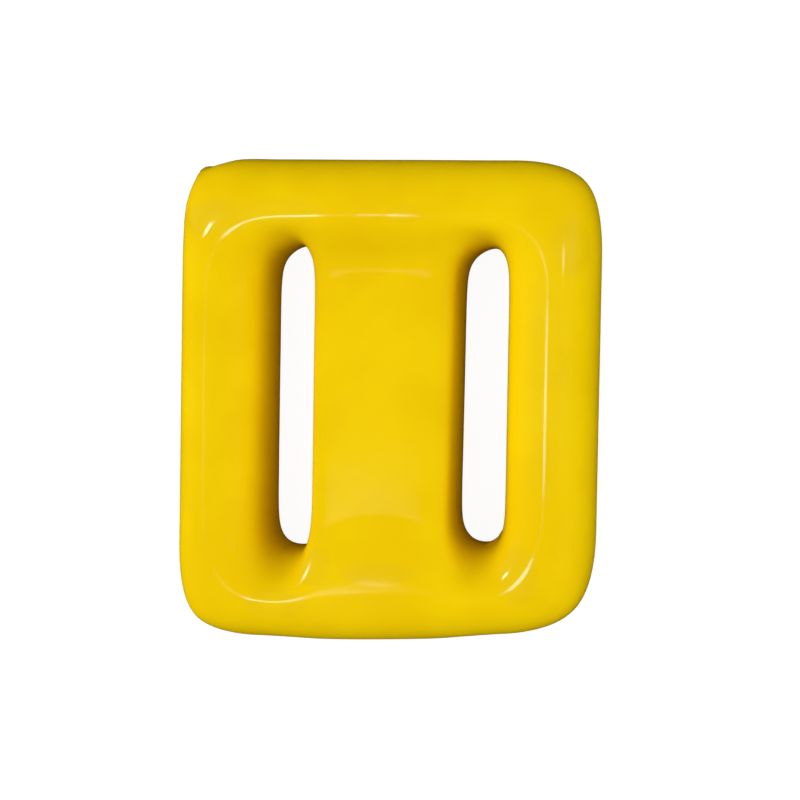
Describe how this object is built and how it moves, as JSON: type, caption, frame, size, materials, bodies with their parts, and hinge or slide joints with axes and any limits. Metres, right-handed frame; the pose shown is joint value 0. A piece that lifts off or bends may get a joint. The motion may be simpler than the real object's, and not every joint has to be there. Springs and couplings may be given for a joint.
{
  "type": "diving weight",
  "caption": "Lace-through diving weight: a cast lead block in a glossy dipped vinyl coat, with a fat rounded rim, a lower middle bar and a long belt slot on each side of the bar.",
  "frame": {"origin": "on the flat back plane, midway across the width and midway between the furthest points of the two ends", "axes": "+Z out of the front face with the recessed bar, +Y along the slots towards the square end, +X across the slots; the belt's webbing crosses the middle bar along X"},
  "size_m": [0.0768, 0.0886, 0.0237],
  "materials": {
    "yellow_vinyl": "gloss",
    "lead": "satin"
  },
  "bodies": {
    "root": {"lead_core": "lead", "vinyl_coating": "yellow_vinyl"}
  },
  "joints": []
}
